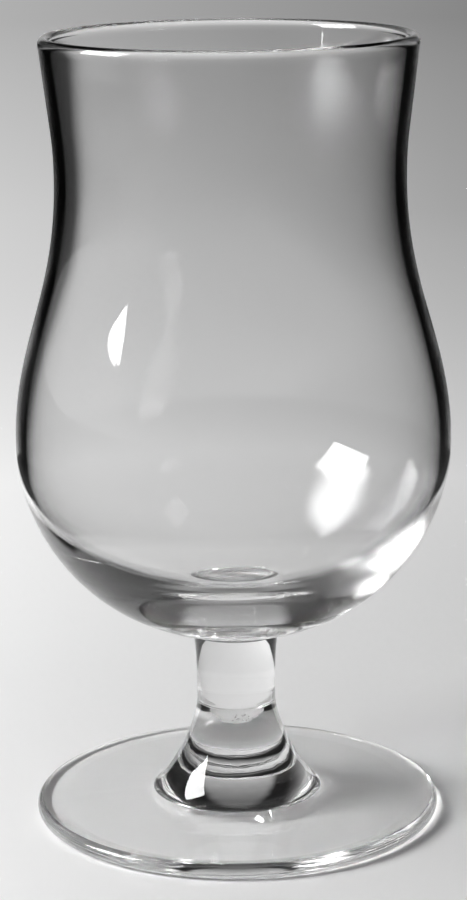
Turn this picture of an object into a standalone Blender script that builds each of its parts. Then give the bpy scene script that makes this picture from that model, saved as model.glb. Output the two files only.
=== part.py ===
"""Stemmed ale glass: a blown bowl, a short solid stem and a pressed foot, welded hot end to end.

Units are metres and +Z is up. The origin is the middle of the foot, on the surface that the glass stands on.
Every piece is turned about its own Z axis from an outline of (radius, height) points, and stands on the piece below.
"""

import math

import bmesh
import bpy

# Bowl: heights are stacked, each counted from the level below it
RIM_DIAMETER = 0.0772
WAIST_DIAMETER = 0.0720
BELLY_DIAMETER = 0.0910
BELLY_RISE = 0.0410
WAIST_RISE = 0.0561
LIP_RISE = 0.0285
LIP_ROUND = 0.0025
WALL = 0.0023
BASE_THICKNESS = 0.0090

# Fullness of the bowl's curves: the length of each handle beside the rise or the radius that it spans
BOTTOM_FULLNESS = 0.74
LOWER_BELLY_FULLNESS = 0.33
INNER_BOTTOM_FULLNESS = 0.78
INNER_BELLY_FULLNESS = 0.45
UPPER_BELLY_FULLNESS = 0.39
LOWER_WAIST_FULLNESS = 0.44
UPPER_WAIST_FULLNESS = 0.15
LIP_FULLNESS = 0.67
LIP_LEAN = math.radians(8.3)

# Stem: its top spreads into a fillet under the bowl
STEM_LENGTH = 0.0148
SEAT_DIAMETER = 0.0240
FILLET_DROP = 0.0012
FILLET_FULLNESS = 0.68
STEM_TOP_DIAMETER = 0.0181
STEM_TOP_FULLNESS = 0.35
STEM_WELD_FULLNESS = 0.45

# Foot: a flat disc with a rounded edge, drawn up into a flared collar that carries the stem
WELD_DIAMETER = 0.0167
FOOT_HEIGHT = 0.0240
FLARE_DIAMETER = 0.0366
FLARE_BASE_HEIGHT = 0.0049
COLLAR_LEAN = math.radians(5)
COLLAR_FULLNESS = 0.44
FLARE_FULLNESS = 0.21
FOOT_DIAMETER = 0.0860
FOOT_EDGE = 0.0032
REST_RING_WIDTH = 0.0040
RECESS_DEPTH = 0.0010

# Room left between two pieces at a weld
WELD_GAP = 0.0003

# Fineness of the turned surfaces
SEGMENTS = 64
BOTTOM_STEPS = 10
SHOULDER_STEPS = 9
LIP_STEPS = 4
ROUND_STEPS = 6
STEM_STEPS = 6
SEAT_STEPS = 5
FILLET_STEPS = 4
FLARE_STEPS = 9
RECESS_STEPS = 4
MERGE_DISTANCE = 1e-6
SHARP_ANGLE = math.radians(40)

# Clear soda-lime glass
GLASS_COLOUR = (0.97, 0.97, 0.97, 1.0)
GLASS_ROUGHNESS = 0.02
GLASS_IOR = 1.52

RIM_RADIUS = RIM_DIAMETER / 2
WAIST_RADIUS = WAIST_DIAMETER / 2
BELLY_RADIUS = BELLY_DIAMETER / 2
SEAT_RADIUS = SEAT_DIAMETER / 2
STEM_TOP_RADIUS = STEM_TOP_DIAMETER / 2
WELD_RADIUS = WELD_DIAMETER / 2
FLARE_RADIUS = FLARE_DIAMETER / 2
FOOT_RADIUS = FOOT_DIAMETER / 2

BELLY_HEIGHT = BELLY_RISE
WAIST_HEIGHT = BELLY_HEIGHT + WAIST_RISE
BOWL_HEIGHT = WAIST_HEIGHT + LIP_RISE
STEM_LEVEL = FOOT_HEIGHT + WELD_GAP
BOWL_LEVEL = STEM_LEVEL + STEM_LENGTH + WELD_GAP


def between(start, end, share):
    """Point at a share of the way from one point to another."""
    return tuple(a + (b - a) * share for a, b in zip(start, end))


def curve_point(knots, share):
    """Point of a cubic Bezier curve at a share of its way, from 0 to 1."""
    left = 1 - share
    weights = (left**3, 3 * left**2 * share, 3 * left * share**2, share**3)
    return tuple(sum(w * knot[axis] for w, knot in zip(weights, knots)) for axis in (0, 1))


def curve(knots, steps):
    """Points of a cubic Bezier curve, both ends included."""
    return [curve_point(knots, step / steps) for step in range(steps + 1)]


def arc(centre, across, up, start, end, steps):
    """Points of an oval arc between two angles, both ends included; across and up are its half sizes."""
    turns = [start + (end - start) * step / steps for step in range(steps + 1)]
    return [(centre[0] + across * math.cos(a), centre[1] + up * math.sin(a)) for a in turns]


def joined(*stretches):
    """One outline from stretches that each start where the last one ended."""
    outline = list(stretches[0])
    for stretch in stretches[1:]:
        outline += stretch[1:]
    return outline


def bottom_knots(wall, floor, bottom_fullness, belly_fullness):
    """Knots of a round bottom of the bowl, from its middle up to the belly."""
    belly_radius = BELLY_RADIUS - wall
    rise = BELLY_HEIGHT - floor
    return (
        (0.0, floor),
        (bottom_fullness * belly_radius, floor),
        (belly_radius, BELLY_HEIGHT - belly_fullness * rise),
        (belly_radius, BELLY_HEIGHT),
    )


def outer_bottom():
    """Knots of the bowl's underside."""
    return bottom_knots(0.0, 0.0, BOTTOM_FULLNESS, LOWER_BELLY_FULLNESS)


def inner_bottom():
    """Knots of the bowl's inside bottom, which is fuller and leaves a heavy base under it."""
    return bottom_knots(WALL, BASE_THICKNESS, INNER_BOTTOM_FULLNESS, INNER_BELLY_FULLNESS)


def bowl_side(bottom, wall):
    """Half outline of the bowl from the middle of a bottom up to its lip, drawn in by the wall."""
    belly_radius = BELLY_RADIUS - wall
    waist_radius = WAIST_RADIUS - wall
    lip = (RIM_RADIUS - wall, BOWL_HEIGHT - LIP_ROUND)
    lip_handle = LIP_FULLNESS * LIP_RISE
    shoulder = (
        (belly_radius, BELLY_HEIGHT),
        (belly_radius, BELLY_HEIGHT + UPPER_BELLY_FULLNESS * WAIST_RISE),
        (waist_radius, WAIST_HEIGHT - LOWER_WAIST_FULLNESS * WAIST_RISE),
        (waist_radius, WAIST_HEIGHT),
    )
    flare = (
        (waist_radius, WAIST_HEIGHT),
        (waist_radius, WAIST_HEIGHT + UPPER_WAIST_FULLNESS * LIP_RISE),
        (lip[0] - lip_handle * math.sin(LIP_LEAN), lip[1] - lip_handle * math.cos(LIP_LEAN)),
        lip,
    )
    return joined(
        curve(bottom, BOTTOM_STEPS),
        curve(shoulder, SHOULDER_STEPS),
        curve(flare, LIP_STEPS),
    )


def bowl_outline():
    """Blown bowl: an even wall that thickens into a heavy base, with a fire-polished round lip."""
    outside = bowl_side(outer_bottom(), 0.0)
    inside = bowl_side(inner_bottom(), WALL)
    lip_centre = (RIM_RADIUS - WALL / 2, BOWL_HEIGHT - LIP_ROUND)
    lip = arc(lip_centre, WALL / 2, LIP_ROUND, math.pi, 0.0, ROUND_STEPS)
    return joined(inside, lip, outside[::-1])


def underside_height(radius):
    """Height of the bowl's outer bottom at a radius, above its lowest point."""
    knots = outer_bottom()
    low, high = 0.0, 1.0
    while high - low > MERGE_DISTANCE:
        middle = (low + high) / 2
        if curve_point(knots, middle)[0] < radius:
            low = middle
        else:
            high = middle
    return curve_point(knots, low)[1]


def stem_outline():
    """Solid stem: a hollowed top that follows the bowl's round underside, a fillet and a slim round shank."""
    seat_radii = [SEAT_RADIUS * step / SEAT_STEPS for step in range(SEAT_STEPS + 1)]
    seat = [(radius, STEM_LENGTH + underside_height(radius)) for radius in seat_radii]
    inner, edge = seat[-2:]
    slope = (edge[1] - inner[1]) / (edge[0] - inner[0])
    meet = (STEM_TOP_RADIUS, edge[1] - slope * (edge[0] - STEM_TOP_RADIUS))
    top = (STEM_TOP_RADIUS, meet[1] - FILLET_DROP)
    fillet = (edge, between(edge, meet, FILLET_FULLNESS), between(top, meet, FILLET_FULLNESS), top)
    shank = (
        top,
        (STEM_TOP_RADIUS, top[1] * (1 - STEM_TOP_FULLNESS)),
        (WELD_RADIUS, top[1] * STEM_WELD_FULLNESS),
        (WELD_RADIUS, 0.0),
    )
    return joined(
        seat,
        curve(fillet, FILLET_STEPS),
        curve(shank, STEM_STEPS),
        [(WELD_RADIUS, 0.0), (0.0, 0.0)],
    )


def foot_outline():
    """Pressed foot: weld face, flared collar, sloping disc, round edge, rest ring and hollowed underside."""
    edge_radius = FOOT_EDGE / 2
    edge_centre = (FOOT_RADIUS - edge_radius, edge_radius)
    flare_base = (FLARE_RADIUS, FLARE_BASE_HEIGHT)
    drop = FOOT_HEIGHT - FLARE_BASE_HEIGHT
    spread = FLARE_RADIUS - WELD_RADIUS
    handle = COLLAR_FULLNESS * drop
    collar = (
        (WELD_RADIUS, FOOT_HEIGHT),
        (WELD_RADIUS + handle * math.sin(COLLAR_LEAN), FOOT_HEIGHT - handle * math.cos(COLLAR_LEAN)),
        (FLARE_RADIUS - FLARE_FULLNESS * spread, FLARE_BASE_HEIGHT),
        flare_base,
    )
    edge = arc(edge_centre, edge_radius, edge_radius, math.pi / 2, -math.pi / 2, ROUND_STEPS)
    ring_radius = edge_centre[0] - REST_RING_WIDTH
    recess_turns = [math.pi / 2 * step / RECESS_STEPS for step in range(RECESS_STEPS + 1)]
    recess = [(ring_radius * math.cos(a), RECESS_DEPTH * math.sin(a) ** 2) for a in recess_turns]
    return joined(
        [(0.0, FOOT_HEIGHT), (WELD_RADIUS, FOOT_HEIGHT)],
        curve(collar, FLARE_STEPS),
        [flare_base, edge[0]],
        edge,
        [edge[-1], recess[0]],
        recess,
    )


def glass_material(name):
    """Clear, smooth glass."""
    material = bpy.data.materials.new(name)
    material.use_nodes = True
    shader = material.node_tree.nodes["Principled BSDF"]
    shader.inputs["Base Color"].default_value = GLASS_COLOUR
    shader.inputs["Metallic"].default_value = 0.0
    shader.inputs["Roughness"].default_value = GLASS_ROUGHNESS
    shader.inputs["IOR"].default_value = GLASS_IOR
    shader.inputs["Transmission Weight"].default_value = 1.0
    return material


def turned_piece(name, outline, level, assembly):
    """Closed solid turned from an outline whose ends lie on the axis, placed at its level in the assembly."""
    shape = bmesh.new()
    points = [shape.verts.new((radius, 0.0, height)) for radius, height in outline]
    lines = [shape.edges.new(pair) for pair in zip(points, points[1:])]
    bmesh.ops.spin(
        shape,
        geom=points + lines,
        cent=(0, 0, 0),
        axis=(0, 0, 1),
        angle=math.tau,
        steps=SEGMENTS,
        use_merge=True,
    )
    bmesh.ops.remove_doubles(shape, verts=shape.verts, dist=MERGE_DISTANCE)
    bmesh.ops.recalc_face_normals(shape, faces=shape.faces)
    mesh = bpy.data.meshes.new(name)
    shape.to_mesh(mesh)
    shape.free()
    mesh.shade_smooth()
    mesh.set_sharp_from_angle(angle=SHARP_ANGLE)
    mesh.materials.append(glass_material(name + "_glass"))
    piece = bpy.data.objects.new(name, mesh)
    piece.location = (0, 0, level)
    piece.parent = assembly
    bpy.context.scene.collection.objects.link(piece)
    return piece


def main():
    for old in list(bpy.data.objects):
        bpy.data.objects.remove(old)
    assembly = bpy.data.objects.new("ale_glass", None)
    bpy.context.scene.collection.objects.link(assembly)
    turned_piece("foot", foot_outline(), 0.0, assembly)
    turned_piece("stem", stem_outline(), STEM_LEVEL, assembly)
    turned_piece("bowl", bowl_outline(), BOWL_LEVEL, assembly)


main()
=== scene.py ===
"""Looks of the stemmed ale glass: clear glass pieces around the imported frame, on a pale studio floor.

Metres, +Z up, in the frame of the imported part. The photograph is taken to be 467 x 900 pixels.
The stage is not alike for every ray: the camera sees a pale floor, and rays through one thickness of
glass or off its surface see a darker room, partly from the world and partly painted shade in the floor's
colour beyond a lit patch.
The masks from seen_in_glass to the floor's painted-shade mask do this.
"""

import math
import random

import bmesh
import bpy
from mathutils import Matrix, Vector, noise


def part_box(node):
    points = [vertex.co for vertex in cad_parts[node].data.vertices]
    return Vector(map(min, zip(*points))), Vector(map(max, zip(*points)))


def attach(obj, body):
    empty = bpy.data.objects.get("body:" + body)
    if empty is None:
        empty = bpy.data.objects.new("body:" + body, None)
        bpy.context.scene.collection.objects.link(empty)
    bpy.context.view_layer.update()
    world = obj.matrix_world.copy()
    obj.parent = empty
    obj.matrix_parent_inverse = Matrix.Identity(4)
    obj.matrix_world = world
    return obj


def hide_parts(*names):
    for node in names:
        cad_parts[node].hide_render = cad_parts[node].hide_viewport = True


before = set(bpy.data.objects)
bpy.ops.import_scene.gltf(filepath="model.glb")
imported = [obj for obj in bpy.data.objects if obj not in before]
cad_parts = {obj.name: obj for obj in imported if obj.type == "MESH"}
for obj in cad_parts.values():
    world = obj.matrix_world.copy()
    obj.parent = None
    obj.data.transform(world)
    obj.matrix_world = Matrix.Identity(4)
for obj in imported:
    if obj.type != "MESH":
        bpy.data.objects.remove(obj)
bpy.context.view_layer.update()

# Sizes that the frame gives
BOWL_LOW, BOWL_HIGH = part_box("bowl")
FOOT_LOW, FOOT_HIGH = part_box("foot")
STEM_LOW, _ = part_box("stem")
BELLY_RADIUS = (BOWL_HIGH.x - BOWL_LOW.x) / 2
FOOT_RADIUS = (FOOT_HIGH.x - FOOT_LOW.x) / 2
BOWL_LEVEL = BOWL_LOW.z
RIM_LEVEL = BOWL_HIGH.z
WELD_LEVEL = (FOOT_HIGH.z + STEM_LOW.z) / 2

# Sizes of the bowl that the frame's boxes don't show
RIM_RADIUS = 0.0386
WAIST_RADIUS = 0.0360
BELLY_RISE = 0.0410
WAIST_RISE = 0.0561
LIP_ROUND = 0.0017
WALL = 0.0023
BASE_THICKNESS = 0.0090
BOTTOM_FULLNESS = 0.74
LOWER_BELLY_FULLNESS = 0.33
INNER_BOTTOM_FULLNESS = 0.78
INNER_BELLY_FULLNESS = 0.45
UPPER_BELLY_FULLNESS = 0.39
LOWER_WAIST_FULLNESS = 0.44
UPPER_WAIST_FULLNESS = 0.30
LIP_FULLNESS = 0.58
LIP_LEAN = math.radians(6.3)

# Sizes of the stem and foot
SEAT_RADIUS = 0.0120
FILLET_DROP = 0.0010
FILLET_FULLNESS = 0.45
STEM_TOP_RADIUS = 0.00915
STEM_TOP_LEAN = math.radians(8)
STEM_TOP_FULLNESS = 0.30
STEM_WELD_FULLNESS = 0.45
WELD_RADIUS = 0.00835
FLARE_RADIUS = 0.0183
FLARE_BASE_LEVEL = 0.0049
COLLAR_LEAN = math.radians(5)
COLLAR_FULLNESS = 0.44
FLARE_FULLNESS = 0.21
FOOT_EDGE = 0.0032
REST_RING_WIDTH = 0.0040
RECESS_DEPTH = 0.0010

SEGMENTS = 256
CURVE_STEPS = 48
BOTTOM_STEPS = 100
FINE_STEPS = 160
ROUND_STEPS = 16
SEAT_STEPS = 12
HALVINGS = 40
MERGE_DISTANCE = 1e-6
SHARP_ANGLE = math.radians(40)

BELLY_LEVEL = BOWL_LEVEL + BELLY_RISE
WAIST_LEVEL = BELLY_LEVEL + WAIST_RISE
LIP_RISE = RIM_LEVEL - WAIST_LEVEL

# Camera, as fitted to the photograph's outline
PHOTO_HEIGHT_PX = 900
FOCAL_PX = 2659.4
SENSOR = 36.0
CAMERA_PLACE = Vector((0.0, -0.5404, 0.2110))
CAMERA_PITCH = math.radians(13.77)
CAMERA_ROLL = math.radians(-0.66)
CLIP_START = 0.01

# Glass, and the small unevenness that hand work leaves in it
GLASS_IOR = 1.52
BOWL_TINT = 0.955
SOLID_TINT = 0.985
SMEAR_SCALE = 55.0
SMEAR_ENDS = (0.35, 0.70)
BOWL_SMEARS = (0.01, 0.05)
SOLID_SMEARS = (0.003, 0.015)
RIPPLE_SCALE = 600.0
RIPPLE_DEPTH = 5e-7
HAZE_LEVELS = (0.072, 0.060)
HAZE_RADII = (0.028, 0.034)
HAZE_SIDES = (0.006, 0.022)
HAZE_ROUGHNESS = 0.12
LIP_HAZE_START = (0.118, 0.138)
LIP_HAZE_END = (0.161, 0.157)
LIP_HAZE_SIDES = (0.032, 0.022)
LIP_HAZE_ROUGHNESS = 0.14
BOWL_WAVE_LENGTH = 0.014
BOWL_WAVE_DEPTH = 1.8e-5
LOW_RING_LEVELS = (0.068, 0.062)
LOW_RING_LENGTH = 0.0022
LOW_RING_DEPTH = 5.0e-6
WAVE_LENGTH = 0.005
WAVE_DEPTH = 1.0e-5
DIMPLE_LENGTH = 0.0016
DIMPLE_DEPTH = 1.0e-5
RING_LENGTH = 0.0010
RING_DEPTH = 6.0e-6
SHANK_REACH = 0.020
COLLAR_DROPS = (0.0005, 0.0040)
GROOVE_DEPTH = 3.0e-5
GROOVE_HALF = 0.00035
FLAT_LEVELS = (0.0005, 0.0030)
SEED_START = 7
SEED_COUNT = 22
SEED_SUBDIVISIONS = 2
SEED_RADII = (0.00006, 0.00017)
SEED_TURNS = (math.radians(-100), math.radians(-45))
SEED_PLACES = (0.0042, 0.0052)
SEED_DROPS = (0.0022, 0.0038)

# Stage
FLOOR_DROP = 0.0001
FLOOR_SIZE = 6.0
FLOOR_CELLS = 8
FLOOR_PALE = 0.80
# Painted shade: the paper's colour is darker near the lamp and to the left of the glass, where the lamp
# lights it most.
SHADE_UNDER_LAMP = 0.25
SHADE_LEFT = 0.60
POOL_PLACE = (-0.43, -0.07, 0.0)
POOL_REACH = (0.16, 0.345)
# Painted light: the floor's glow, which stands in for the lit sweep behind the glass.
GLOW_RISE = (0.03, 0.29)
GLOW_LEVEL = 0.345
GLOW_FALL = (0.75, 2.10)
GLOW_FAR = 0.65
GLOW_END = (2.60, 5.00)
GLOW_END_LEVEL = 0.28
LEFT_REACH = (-0.20, -0.09)
LEFT_SPREAD = 0.09
TILT_REACH = (0.10, 0.85)
TILT_LEVEL = -0.88
GLOW_MOST = 0.50
GLOW_SOFT_LOW = 0.05
GLOW_SOFT_HIGH = 0.10
# Painted shade for rays through glass: a lit patch around and behind the glass, darker paper beyond it
# and near the glass, and darker with distance across the bowl.
LIT_PATCH_RADIUS = (0.105, 0.095)
LIT_PATCH_SIDE = 0.0845
LIT_PATCH_SPREAD = 0.35
LIT_PATCH_WIDEST = 0.138
LIT_PATCH_FAR = (1.15, 1.50)
LIT_PATCH_FAR_SPREAD = 0.40
LIT_PATCH_EDGE = (0.006, -0.006)
SHADE_BEYOND_REACH = (0.0, 0.10)
SHADE_BEYOND_LEVELS = (0.09, 0.02)
SHADE_NEAR_REACH = (0.16, 0.32)
SHADE_NEAR_LEVEL = 0.15
SOFT_REACH = (0.05, 0.40)
SOFT_LEVELS = (1.0, 0.12)
DIRECT_DEPTH = 0.5
BENT_DEPTH = 1.5
BENT_SPAN = 1.0
OPEN_DEPTH = 2.5

# Lights
KEY_AIM = Vector((0.0, 0.0, 0.06))
KEY_AZIMUTH = math.radians(-81)
KEY_ELEVATION = math.radians(30)
KEY_DISTANCE = 0.50
KEY_SIZE = (0.25, 0.21)
KEY_POWER = 3.40
FILL_LEVEL = 0.13
SKY_LEVEL = 0.20
ROOM_LEVEL = 0.012
CEILING_HEIGHTS = (0.75, 0.95)
CEILING_LEVEL = 0.36
LAMP_SIDE = (0.42, 0.92)
LAMP_SIDE_LEVEL = 0.8
WINDOW_RISE = 0.18
WINDOW_ACROSS = 0.32
WINDOW_UP = 0.50
WINDOW_EDGE = (1.60, 0.70)
WINDOW_HEIGHTS = (0.12, 0.55)
WINDOW_LEVELS = (0.45, 0.12)

# Render
MAX_BOUNCES = 48
GLOSSY_BOUNCES = 48
TRANSMISSION_BOUNCES = 32
TRANSPARENT_BOUNCES = 32


def between(start, end, share):
    """Point at a share of the way from one point to another."""
    return tuple(a + (b - a) * share for a, b in zip(start, end))


def curve_point(knots, share):
    """Point of a cubic Bezier curve at a share of its way, from 0 to 1."""
    left = 1 - share
    weights = (left**3, 3 * left**2 * share, 3 * left * share**2, share**3)
    return tuple(sum(w * knot[axis] for w, knot in zip(weights, knots)) for axis in (0, 1))


def curve(knots, steps=CURVE_STEPS):
    """Points of a cubic Bezier curve, both ends included."""
    return [curve_point(knots, step / steps) for step in range(steps + 1)]


def arc(centre, across, up, start, end, steps=ROUND_STEPS):
    """Points of an oval arc between two angles, both ends included; across and up are its half sizes."""
    turns = [start + (end - start) * step / steps for step in range(steps + 1)]
    return [(centre[0] + across * math.cos(a), centre[1] + up * math.sin(a)) for a in turns]


def joined(*stretches):
    """One outline from stretches that each start where the last one ended."""
    outline = list(stretches[0])
    for stretch in stretches[1:]:
        outline += stretch[1:]
    return outline


def bottom_knots(wall, floor, bottom_fullness, belly_fullness):
    """Knots of the bowl's round bottom, from its middle up to the belly."""
    belly_radius = BELLY_RADIUS - wall
    rise = BELLY_RISE - floor
    low = BOWL_LEVEL + floor
    return (
        (0.0, low),
        (bottom_fullness * belly_radius, low),
        (belly_radius, BELLY_LEVEL - belly_fullness * rise),
        (belly_radius, BELLY_LEVEL),
    )


def outer_bottom():
    """Knots of the bowl's underside."""
    return bottom_knots(0.0, 0.0, BOTTOM_FULLNESS, LOWER_BELLY_FULLNESS)


def inner_bottom():
    """Knots of the bowl's inside bottom, which leaves a heavy base under it."""
    return bottom_knots(WALL, BASE_THICKNESS, INNER_BOTTOM_FULLNESS, INNER_BELLY_FULLNESS)


def upper_side(wall):
    """Outline of the bowl from its belly to its lip, drawn in by the wall."""
    belly_radius = BELLY_RADIUS - wall
    waist_radius = WAIST_RADIUS - wall
    lip = (RIM_RADIUS - wall, RIM_LEVEL - LIP_ROUND)
    lip_handle = LIP_FULLNESS * LIP_RISE
    shoulder = (
        (belly_radius, BELLY_LEVEL),
        (belly_radius, BELLY_LEVEL + UPPER_BELLY_FULLNESS * WAIST_RISE),
        (waist_radius, WAIST_LEVEL - LOWER_WAIST_FULLNESS * WAIST_RISE),
        (waist_radius, WAIST_LEVEL),
    )
    flare = (
        (waist_radius, WAIST_LEVEL),
        (waist_radius, WAIST_LEVEL + UPPER_WAIST_FULLNESS * LIP_RISE),
        (lip[0] - lip_handle * math.sin(LIP_LEAN), lip[1] - lip_handle * math.cos(LIP_LEAN)),
        lip,
    )
    return joined(curve(shoulder), curve(flare))


def bottom_share(radius):
    """Share of the way along the bowl's outer bottom at which it reaches a radius."""
    knots = outer_bottom()
    low, high = 0.0, 1.0
    for _ in range(HALVINGS):
        middle = (low + high) / 2
        if curve_point(knots, middle)[0] < radius:
            low = middle
        else:
            high = middle
    return low


def seat_outline():
    """The weld between bowl and stem, from the axis out to the stem's top edge."""
    knots = outer_bottom()
    end = bottom_share(SEAT_RADIUS)
    return [curve_point(knots, end * step / SEAT_STEPS) for step in range(SEAT_STEPS + 1)]


def bowl_outline():
    """Inside from the axis up, over the round lip, and down the outside to the stem's weld."""
    inside = joined(curve(inner_bottom()), upper_side(WALL))
    lip = arc((RIM_RADIUS - WALL / 2, RIM_LEVEL - LIP_ROUND), WALL / 2, LIP_ROUND, math.pi, 0.0)
    knots = outer_bottom()
    start = bottom_share(SEAT_RADIUS)
    shares = [start + (1 - start) * step / BOTTOM_STEPS for step in range(BOTTOM_STEPS + 1)]
    bottom = [curve_point(knots, share) for share in shares]
    outside = joined(bottom, upper_side(0.0))
    return joined(inside, lip, outside[::-1])


def stem_outline():
    """Shank of the stem, from the bowl's underside down to the weld with the foot."""
    inner, edge = seat_outline()[-2:]
    slope = (edge[1] - inner[1]) / (edge[0] - inner[0])
    meet = (STEM_TOP_RADIUS, edge[1] - slope * (edge[0] - STEM_TOP_RADIUS))
    lean = math.tan(STEM_TOP_LEAN)
    top = (STEM_TOP_RADIUS - lean * FILLET_DROP, meet[1] - FILLET_DROP)
    height = top[1] - WELD_LEVEL
    handle = STEM_TOP_FULLNESS * height
    fillet = (edge, between(edge, meet, FILLET_FULLNESS), between(top, meet, FILLET_FULLNESS), top)
    shank = (
        top,
        (top[0] - lean * handle, top[1] - handle),
        (WELD_RADIUS, WELD_LEVEL + STEM_WELD_FULLNESS * height),
        (WELD_RADIUS, WELD_LEVEL),
    )
    return joined(curve(fillet, ROUND_STEPS), curve(shank, FINE_STEPS))


def foot_outline():
    """Flared collar, sloping disc, round edge, rest ring and hollowed underside."""
    edge_radius = FOOT_EDGE / 2
    edge_centre = (FOOT_RADIUS - edge_radius, FOOT_LOW.z + edge_radius)
    drop = WELD_LEVEL - FLARE_BASE_LEVEL
    spread = FLARE_RADIUS - WELD_RADIUS
    handle = COLLAR_FULLNESS * drop
    flare_base = (FLARE_RADIUS, FLARE_BASE_LEVEL)
    collar = (
        (WELD_RADIUS, WELD_LEVEL),
        (WELD_RADIUS + handle * math.sin(COLLAR_LEAN), WELD_LEVEL - handle * math.cos(COLLAR_LEAN)),
        (FLARE_RADIUS - FLARE_FULLNESS * spread, FLARE_BASE_LEVEL),
        flare_base,
    )
    edge = arc(edge_centre, edge_radius, edge_radius, math.pi / 2, -math.pi / 2)
    ring_radius = edge_centre[0] - REST_RING_WIDTH
    turns = [math.pi / 2 * step / ROUND_STEPS for step in range(ROUND_STEPS + 1)]
    recess = [(ring_radius * math.cos(a), FOOT_LOW.z + RECESS_DEPTH * math.sin(a) ** 2) for a in turns]
    return joined(curve(collar, FINE_STEPS), [flare_base, edge[0]], edge, [edge[-1], recess[0]], recess)


def share_between(value, ends):
    """How far a value is from one end to the other, from 0 to 1."""
    return min(max((value - ends[0]) / (ends[1] - ends[0]), 0.0), 1.0)


def unevenness(point):
    """How far the real surface stands out from the drawn one at a place on the glass."""
    if point.z > BOWL_LEVEL:
        low = LOW_RING_DEPTH * share_between(point.z, LOW_RING_LEVELS)
        across = point.xy / BOWL_WAVE_LENGTH
        ring = Vector((across.x, across.y, point.z / LOW_RING_LENGTH))
        return BOWL_WAVE_DEPTH * noise.noise(point / BOWL_WAVE_LENGTH) + low * noise.noise(ring)
    out = WAVE_DEPTH * noise.noise(point / WAVE_LENGTH)
    if point.xy.length < SHANK_REACH:
        ring = Vector((point.x / WAVE_LENGTH, point.y / WAVE_LENGTH, point.z / RING_LENGTH))
        rough = DIMPLE_DEPTH * noise.noise(point / DIMPLE_LENGTH) + RING_DEPTH * noise.noise(ring)
        out += rough * share_between(WELD_LEVEL - point.z, COLLAR_DROPS)
        out -= GROOVE_DEPTH * math.exp(-(((point.z - WELD_LEVEL) / GROOVE_HALF) ** 2))
    return out * share_between(point.z, FLAT_LEVELS)


def outward(outline, index):
    """Direction out of the glass at a point of an outline, across and up."""
    before, after = outline[max(index - 1, 0)], outline[min(index + 1, len(outline) - 1)]
    return Vector((before[1] - after[1], after[0] - before[0])).normalized()


def ring_points(outline, index):
    """Points around the axis at one point of an outline, with the glass's unevenness."""
    radius, level = outline[index]
    lean = outward(outline, index)
    points = []
    for step in range(SEGMENTS):
        turn = math.tau * step / SEGMENTS
        across = Vector((math.cos(turn), math.sin(turn), 0.0))
        point = across * radius + Vector((0.0, 0.0, level))
        points.append(point + unevenness(point) * (across * lean.x + Vector((0.0, 0.0, lean.y))))
    return points


def turned(name, stretches):
    """Closed mesh turned about Z from stretches of outline that lead from the axis back to the axis."""
    outline = joined(*(stretch for stretch, _ in stretches))
    materials = [slot for slot, (stretch, _) in enumerate(stretches) for _ in stretch[1:]]
    points, rings = [], []
    for index, (radius, level) in enumerate(outline):
        first = len(points)
        if radius < MERGE_DISTANCE:
            points.append((0.0, 0.0, level))
            rings.append([first] * SEGMENTS)
        else:
            points += ring_points(outline, index)
            rings.append(list(range(first, first + SEGMENTS)))
    faces, slots = [], []
    for upper, lower, slot in zip(rings, rings[1:], materials):
        for step in range(SEGMENTS):
            after = (step + 1) % SEGMENTS
            corners = (lower[step], lower[after], upper[after], upper[step])
            faces.append(tuple(dict.fromkeys(corners)))
            slots.append(slot)
    mesh = bpy.data.meshes.new(name)
    mesh.from_pydata(points, [], faces)
    mesh.polygons.foreach_set("material_index", slots)
    mesh.shade_smooth()
    mesh.set_sharp_from_angle(angle=SHARP_ANGLE)
    for _, material in stretches:
        mesh.materials.append(material)
    piece = bpy.data.objects.new(name, mesh)
    bpy.context.scene.collection.objects.link(piece)
    return piece


def new_material(name):
    """Empty node material, with its nodes and links."""
    material = bpy.data.materials.new(name)
    material.use_nodes = True
    material.node_tree.nodes.clear()
    return material, material.node_tree.nodes, material.node_tree.links


def scalar(nodes, links, operation, first, second=None, third=None):
    """Math node on sockets or plain numbers, giving its output."""
    node = nodes.new("ShaderNodeMath")
    node.operation = operation
    for socket, value in zip(node.inputs, (first, second, third)):
        if value is None:
            continue
        if isinstance(value, bpy.types.NodeSocket):
            links.new(value, socket)
        else:
            socket.default_value = value
    return node.outputs[0]


def ramp(nodes, links, value, ends, levels=(0.0, 1.0), smooth=True):
    """Step of a socket between two ends, smooth or straight, giving its output."""
    node = nodes.new("ShaderNodeMapRange")
    node.interpolation_type = "SMOOTHSTEP" if smooth else "LINEAR"
    node.inputs["From Min"].default_value, node.inputs["From Max"].default_value = ends
    node.inputs["To Min"].default_value, node.inputs["To Max"].default_value = levels
    links.new(value, node.inputs["Value"])
    return node.outputs["Result"]


def bowl_haze(nodes, links, place, rough):
    """Roughness with softer belts low on the bowl's right side and under its lip."""
    apart = nodes.new("ShaderNodeSeparateXYZ")
    links.new(place, apart.inputs["Vector"])
    x, y, z = apart.outputs
    across = scalar(nodes, links, "MULTIPLY_ADD", y, y, scalar(nodes, links, "MULTIPLY", x, x))
    belt = ramp(nodes, links, scalar(nodes, links, "SQRT", across), HAZE_RADII)
    for mask in (ramp(nodes, links, z, HAZE_LEVELS), ramp(nodes, links, x, HAZE_SIDES)):
        belt = scalar(nodes, links, "MULTIPLY", belt, mask)
    rough = scalar(nodes, links, "MULTIPLY_ADD", belt, HAZE_ROUGHNESS, rough)
    aside = scalar(nodes, links, "ABSOLUTE", x)
    belt = ramp(nodes, links, z, LIP_HAZE_START)
    for mask in (ramp(nodes, links, z, LIP_HAZE_END), ramp(nodes, links, aside, LIP_HAZE_SIDES)):
        belt = scalar(nodes, links, "MULTIPLY", belt, mask)
    return scalar(nodes, links, "MULTIPLY_ADD", belt, LIP_HAZE_ROUGHNESS, rough)


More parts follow.
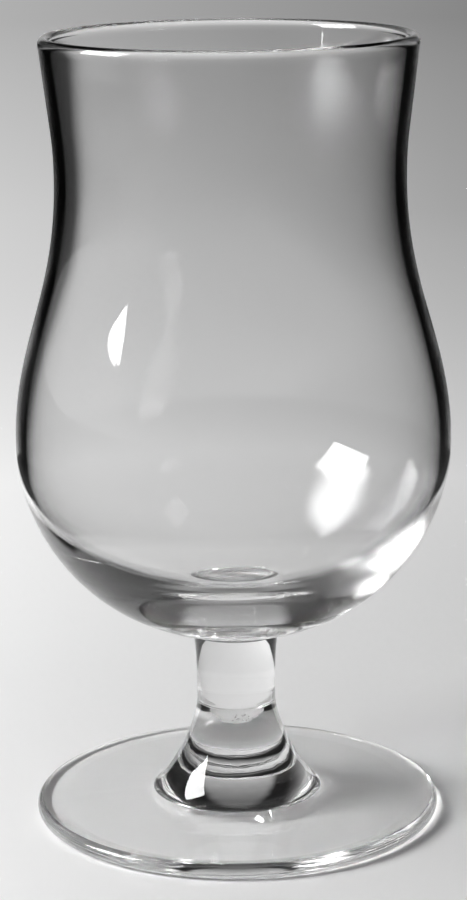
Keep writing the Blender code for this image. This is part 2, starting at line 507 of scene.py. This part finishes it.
def glass_material(name, tint, smears_rough, hazy=False):
    """Clear glass with faint smears and ripples, and with the bowl's softer belts where it is hazy."""
    material, nodes, links = new_material(name)
    out = nodes.new("ShaderNodeOutputMaterial")
    shader = nodes.new("ShaderNodeBsdfPrincipled")
    shader.inputs["Base Color"].default_value = (tint, tint, tint, 1.0)
    shader.inputs["IOR"].default_value = GLASS_IOR
    shader.inputs["Transmission Weight"].default_value = 1.0
    place = nodes.new("ShaderNodeTexCoord").outputs["Object"]
    smears = nodes.new("ShaderNodeTexNoise")
    smears.inputs["Scale"].default_value = SMEAR_SCALE
    links.new(place, smears.inputs["Vector"])
    rough = ramp(nodes, links, smears.outputs["Fac"], SMEAR_ENDS, smears_rough)
    if hazy:
        rough = bowl_haze(nodes, links, place, rough)
    links.new(rough, shader.inputs["Roughness"])
    ripples = nodes.new("ShaderNodeTexNoise")
    ripples.inputs["Scale"].default_value = RIPPLE_SCALE
    links.new(place, ripples.inputs["Vector"])
    bump = nodes.new("ShaderNodeBump")
    bump.inputs["Distance"].default_value = RIPPLE_DEPTH
    links.new(ripples.outputs["Fac"], bump.inputs["Height"])
    links.new(bump.outputs["Normal"], shader.inputs["Normal"])
    links.new(shader.outputs["BSDF"], out.inputs["Surface"])
    return material


def weld_material():
    """Fused glass has no surface inside a weld, so light passes straight through it."""
    material, nodes, links = new_material("weld")
    out = nodes.new("ShaderNodeOutputMaterial")
    clear = nodes.new("ShaderNodeBsdfTransparent")
    links.new(clear.outputs["BSDF"], out.inputs["Surface"])
    return material


def add_seeds(piece, slot):
    """Small bubbles caught in the glass under the weld, as hollows in the piece's own mesh."""
    pick = random.Random(SEED_START)
    shape = bmesh.new()
    shape.from_mesh(piece.data)
    for _ in range(SEED_COUNT):
        turn = pick.uniform(*SEED_TURNS)
        out = pick.uniform(*SEED_PLACES)
        level = WELD_LEVEL - pick.uniform(*SEED_DROPS)
        place = Matrix.Translation((out * math.cos(turn), out * math.sin(turn), level))
        radius = pick.uniform(*SEED_RADII)
        ball = bmesh.ops.create_icosphere(
            shape, subdivisions=SEED_SUBDIVISIONS, radius=radius, matrix=place
        )
        for face in {face for corner in ball["verts"] for face in corner.link_faces}:
            face.smooth = True
            face.material_index = slot
            face.normal_flip()
    shape.to_mesh(piece.data)
    shape.free()


def make_glass():
    """The three pieces, each in place of its node, with clear faces where they are welded."""
    weld = weld_material()
    bowl_glass = glass_material("bowl_glass", BOWL_TINT, BOWL_SMEARS, hazy=True)
    stem_glass = glass_material("stem_glass", SOLID_TINT, SOLID_SMEARS)
    foot_glass = glass_material("foot_glass", SOLID_TINT, SOLID_SMEARS)
    seat = seat_outline()
    weld_disc = [(WELD_RADIUS, WELD_LEVEL), (0.0, WELD_LEVEL)]
    pieces = {
        "bowl": [(bowl_outline(), bowl_glass), (seat[::-1], weld)],
        "stem": [(seat, weld), (stem_outline(), stem_glass), (weld_disc, weld)],
        "foot": [(weld_disc[::-1], weld), (foot_outline(), foot_glass)],
    }
    for node, stretches in pieces.items():
        piece = turned("clear_" + node, stretches)
        if node == "foot":
            add_seeds(piece, slot=1)
        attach(piece, "root")
        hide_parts(node)


def seen_in_glass(nodes, links):
    """1 for rays from the camera, clear glass in between or not, and 0 for rays that light the floor."""
    path = nodes.new("ShaderNodeLightPath")
    return scalar(nodes, links, "LESS_THAN", path.outputs["Diffuse Depth"], DIRECT_DEPTH)


def bent_by_glass(nodes, links):
    """1 for rays that have passed through one thickness of glass, and 0 for the rest."""
    path = nodes.new("ShaderNodeLightPath")
    return scalar(nodes, links, "COMPARE", path.outputs["Transmission Depth"], BENT_DEPTH, BENT_SPAN)


def across_bowl(nodes, links):
    """1 for rays that have passed through more than one thickness of glass, and 0 for the rest."""
    path = nodes.new("ShaderNodeLightPath")
    return scalar(nodes, links, "GREATER_THAN", path.outputs["Transmission Depth"], OPEN_DEPTH)


def seen_openly(nodes, links):
    """1 for rays from the camera or straight across the open bowl, and 0 for the rest."""
    path = nodes.new("ShaderNodeLightPath")
    straight = scalar(nodes, links, "LESS_THAN", path.outputs["Glossy Depth"], DIRECT_DEPTH)
    across = scalar(nodes, links, "MULTIPLY", across_bowl(nodes, links), straight)
    return scalar(nodes, links, "MAXIMUM", path.outputs["Is Camera Ray"], across)


def painted_shade_mask(nodes, links, x, y, reach):
    """1 on the lit patch around and behind the glass, and less beyond it: painted shade in the floor's
    colour that glass shows.
    """
    near = ramp(nodes, links, reach, LIT_PATCH_RADIUS)
    side = scalar(nodes, links, "MULTIPLY_ADD", y, LIT_PATCH_SPREAD, LIT_PATCH_SIDE)
    side = scalar(nodes, links, "MINIMUM", side, LIT_PATCH_WIDEST)
    side = scalar(nodes, links, "ADD", side, ramp(nodes, links, y, LIT_PATCH_FAR, (0.0, LIT_PATCH_FAR_SPREAD)))
    past = scalar(nodes, links, "SUBTRACT", scalar(nodes, links, "ABSOLUTE", x), side)
    behind = scalar(nodes, links, "GREATER_THAN", y, 0.0)
    strip = scalar(nodes, links, "MULTIPLY", ramp(nodes, links, past, LIT_PATCH_EDGE), behind)
    # Painted shade: darker floor beyond the lit patch, darker still near the glass.
    shade_beyond = ramp(nodes, links, past, SHADE_BEYOND_REACH, SHADE_BEYOND_LEVELS)
    shade_near = ramp(nodes, links, reach, SHADE_NEAR_REACH, (SHADE_NEAR_LEVEL, 1.0))
    shade_beyond = scalar(nodes, links, "MULTIPLY", shade_beyond, shade_near)
    lit = scalar(nodes, links, "MAXIMUM", scalar(nodes, links, "MAXIMUM", near, strip), shade_beyond)
    across = across_bowl(nodes, links)
    # Painted shade across the bowl: the floor grows darker with distance.
    soft = ramp(nodes, links, reach, SOFT_REACH, SOFT_LEVELS)
    lit = scalar(nodes, links, "MULTIPLY", lit, scalar(nodes, links, "SUBTRACT", 1.0, across))
    lit = scalar(nodes, links, "MULTIPLY_ADD", soft, across, lit)
    lighting = scalar(nodes, links, "SUBTRACT", 1.0, seen_in_glass(nodes, links))
    whole = scalar(nodes, links, "MAXIMUM", seen_openly(nodes, links), lighting)
    return scalar(nodes, links, "MAXIMUM", lit, whole)


def floor_glow(nodes, links, x, reach, masks):
    """Strength of the floor's glow, painted light that stands in for the bright sweep behind the glass.
    """
    side = scalar(nodes, links, "DIVIDE", x, reach)
    # Painted light: the glow is brighter on the lamp's side and dimmer on the other.
    tilt = ramp(nodes, links, reach, TILT_REACH, (0.0, TILT_LEVEL), smooth=False)
    strength = ramp(nodes, links, reach, GLOW_RISE, (0.0, GLOW_LEVEL), smooth=False)
    fall = ramp(nodes, links, reach, GLOW_FALL, (1.0, GLOW_FAR), smooth=False)
    strength = scalar(nodes, links, "MULTIPLY", strength, fall)
    strength = scalar(nodes, links, "MULTIPLY_ADD", side, tilt, strength)
    strength = scalar(nodes, links, "SMOOTH_MAX", strength, 0.0, GLOW_SOFT_LOW)
    strength = scalar(nodes, links, "SMOOTH_MIN", strength, GLOW_MOST, GLOW_SOFT_HIGH)
    end = ramp(nodes, links, reach, GLOW_END, (1.0, GLOW_END_LEVEL))
    for mask in (seen_in_glass(nodes, links), end, *masks):
        strength = scalar(nodes, links, "MULTIPLY", strength, mask)
    return strength


def floor_material():
    """Pale paper with painted shade and painted light: darker colour under the lamp and to the left,
    outside the camera's view, darker beyond a lit patch for rays through glass, and a painted glow for
    the sweep.
    """
    material, nodes, links = new_material("floor_paper")
    out = nodes.new("ShaderNodeOutputMaterial")
    paper = nodes.new("ShaderNodeBsdfDiffuse")
    place = nodes.new("ShaderNodeNewGeometry").outputs["Position"]
    apart = nodes.new("ShaderNodeSeparateXYZ")
    links.new(place, apart.inputs["Vector"])
    x, y, _ = apart.outputs
    from_lamp = nodes.new("ShaderNodeVectorMath")
    from_lamp.operation = "DISTANCE"
    from_lamp.inputs[1].default_value = POOL_PLACE
    links.new(place, from_lamp.inputs[0])
    length = nodes.new("ShaderNodeVectorMath")
    length.operation = "LENGTH"
    links.new(place, length.inputs[0])
    reach = length.outputs["Value"]
    painted_shade = painted_shade_mask(nodes, links, x, y, reach)
    aside = scalar(nodes, links, "MULTIPLY_ADD", y, LEFT_SPREAD, x)
    # Painted shade: the paper is darker near the lamp's foot, where the lamp lights it most.
    colour = ramp(nodes, links, from_lamp.outputs["Value"], POOL_REACH, (SHADE_UNDER_LAMP, FLOOR_PALE))
    # Painted shade on the lamp's side, and beyond the lit patch for rays through glass.
    for mask in (ramp(nodes, links, aside, LEFT_REACH, (SHADE_LEFT, 1.0)), painted_shade):
        colour = scalar(nodes, links, "MULTIPLY", colour, mask)
    links.new(colour, paper.inputs["Color"])
    glow = nodes.new("ShaderNodeEmission")
    # The painted glow fades out on the lamp's side, and beyond the lit patch for rays through glass.
    masks = (painted_shade, ramp(nodes, links, aside, LEFT_REACH))
    links.new(floor_glow(nodes, links, x, reach, masks), glow.inputs["Strength"])
    both = nodes.new("ShaderNodeAddShader")
    links.new(paper.outputs["BSDF"], both.inputs[0])
    links.new(glow.outputs["Emission"], both.inputs[1])
    links.new(both.outputs["Shader"], out.inputs["Surface"])
    return material


def make_floor():
    """Flat floor just under the glass, kept as stage."""
    shape = bmesh.new()
    bmesh.ops.create_grid(shape, x_segments=FLOOR_CELLS, y_segments=FLOOR_CELLS, size=FLOOR_SIZE)
    mesh = bpy.data.meshes.new("floor")
    shape.to_mesh(mesh)
    shape.free()
    mesh.materials.append(floor_material())
    floor = bpy.data.objects.new("floor", mesh)
    floor.location.z = -FLOOR_DROP
    bpy.context.scene.collection.objects.link(floor)


def make_key():
    """The one lamp, a soft rectangle on the left that points at the glass."""
    direction = Vector((
        math.sin(KEY_AZIMUTH) * math.cos(KEY_ELEVATION),
        -math.cos(KEY_AZIMUTH) * math.cos(KEY_ELEVATION),
        math.sin(KEY_ELEVATION),
    ))
    lamp = bpy.data.lights.new("key", "AREA")
    lamp.shape = "RECTANGLE"
    lamp.size, lamp.size_y = KEY_SIZE
    lamp.energy = KEY_POWER
    key = bpy.data.objects.new("key", lamp)
    key.location = KEY_AIM + direction * KEY_DISTANCE
    key.rotation_mode = "QUATERNION"
    key.rotation_quaternion = (-direction).to_track_quat("-Z", "Y")
    bpy.context.scene.collection.objects.link(key)


def window_light(nodes, links, x, y, z):
    """Level of the soft window behind the glass."""
    height = scalar(nodes, links, "DIVIDE", z, y)
    aside = scalar(nodes, links, "DIVIDE", scalar(nodes, links, "DIVIDE", x, y), WINDOW_ACROSS)
    rise = scalar(nodes, links, "SUBTRACT", height, WINDOW_RISE)
    rise = scalar(nodes, links, "DIVIDE", rise, WINDOW_UP)
    off = scalar(nodes, links, "MULTIPLY", rise, rise)
    off = scalar(nodes, links, "MULTIPLY_ADD", aside, aside, off)
    behind = scalar(nodes, links, "GREATER_THAN", y, 0.0)
    window = scalar(nodes, links, "MULTIPLY", ramp(nodes, links, off, WINDOW_EDGE), behind)
    bright = ramp(nodes, links, height, WINDOW_HEIGHTS, WINDOW_LEVELS, smooth=False)
    return scalar(nodes, links, "MULTIPLY", window, bright)


def lamp_side_light(nodes, links, x):
    """Level of the room on the lamp's side, which only one thickness of glass shows."""
    side = ramp(nodes, links, scalar(nodes, links, "MULTIPLY", x, -1.0), LAMP_SIDE, smooth=False)
    side = scalar(nodes, links, "MULTIPLY", side, side)
    side = scalar(nodes, links, "MULTIPLY", side, bent_by_glass(nodes, links))
    return scalar(nodes, links, "MULTIPLY", side, LAMP_SIDE_LEVEL)


def make_world():
    """A dim room in the glass, a grey sky behind it, and a little fill on the floor."""
    world = bpy.data.worlds.new("studio")
    bpy.context.scene.world = world
    world.use_nodes = True
    nodes, links = world.node_tree.nodes, world.node_tree.links
    apart = nodes.new("ShaderNodeSeparateXYZ")
    links.new(nodes.new("ShaderNodeTexCoord").outputs["Generated"], apart.inputs["Vector"])
    x, y, z = apart.outputs
    room = scalar(nodes, links, "ADD", lamp_side_light(nodes, links, x), ROOM_LEVEL)
    room = scalar(nodes, links, "ADD", room, window_light(nodes, links, x, y, z))
    ceiling = ramp(nodes, links, z, CEILING_HEIGHTS, (0.0, CEILING_LEVEL))
    room = scalar(nodes, links, "ADD", room, ceiling)
    openly = seen_openly(nodes, links)
    room = scalar(nodes, links, "MULTIPLY", room, scalar(nodes, links, "SUBTRACT", 1.0, openly))
    room = scalar(nodes, links, "MULTIPLY_ADD", openly, SKY_LEVEL, room)
    seen = seen_in_glass(nodes, links)
    fill = scalar(nodes, links, "MULTIPLY_ADD", seen, -FILL_LEVEL, FILL_LEVEL)
    strength = scalar(nodes, links, "MULTIPLY_ADD", seen, room, fill)
    links.new(strength, nodes["Background"].inputs["Strength"])
    nodes["Background"].inputs["Color"].default_value = (1.0, 1.0, 1.0, 1.0)


def make_camera():
    """Camera of the photograph."""
    forward = Vector((0.0, math.cos(CAMERA_PITCH), -math.sin(CAMERA_PITCH)))
    level_right = Vector((1.0, 0.0, 0.0))
    level_up = level_right.cross(forward)
    right = math.cos(CAMERA_ROLL) * level_right + math.sin(CAMERA_ROLL) * level_up
    up = right.cross(forward)
    turn = Matrix((right, up, -forward)).transposed()
    data = bpy.data.cameras.new("camera")
    data.sensor_width = SENSOR
    data.lens = SENSOR * FOCAL_PX / PHOTO_HEIGHT_PX
    data.clip_start = CLIP_START
    camera = bpy.data.objects.new("camera", data)
    camera.matrix_world = Matrix.Translation(CAMERA_PLACE) @ turn.to_4x4()
    bpy.context.scene.collection.objects.link(camera)
    bpy.context.scene.camera = camera


def set_render():
    """Plain view, and enough bounces for glass behind glass."""
    scene = bpy.context.scene
    scene.view_settings.view_transform = "Standard"
    scene.cycles.max_bounces = MAX_BOUNCES
    scene.cycles.transmission_bounces = TRANSMISSION_BOUNCES
    scene.cycles.glossy_bounces = GLOSSY_BOUNCES
    scene.cycles.transparent_max_bounces = TRANSPARENT_BOUNCES
    scene.cycles.sample_clamp_indirect = 0.0
    scene.cycles.blur_glossy = 0.0


make_glass()
make_floor()
make_key()
make_world()
make_camera()
set_render()
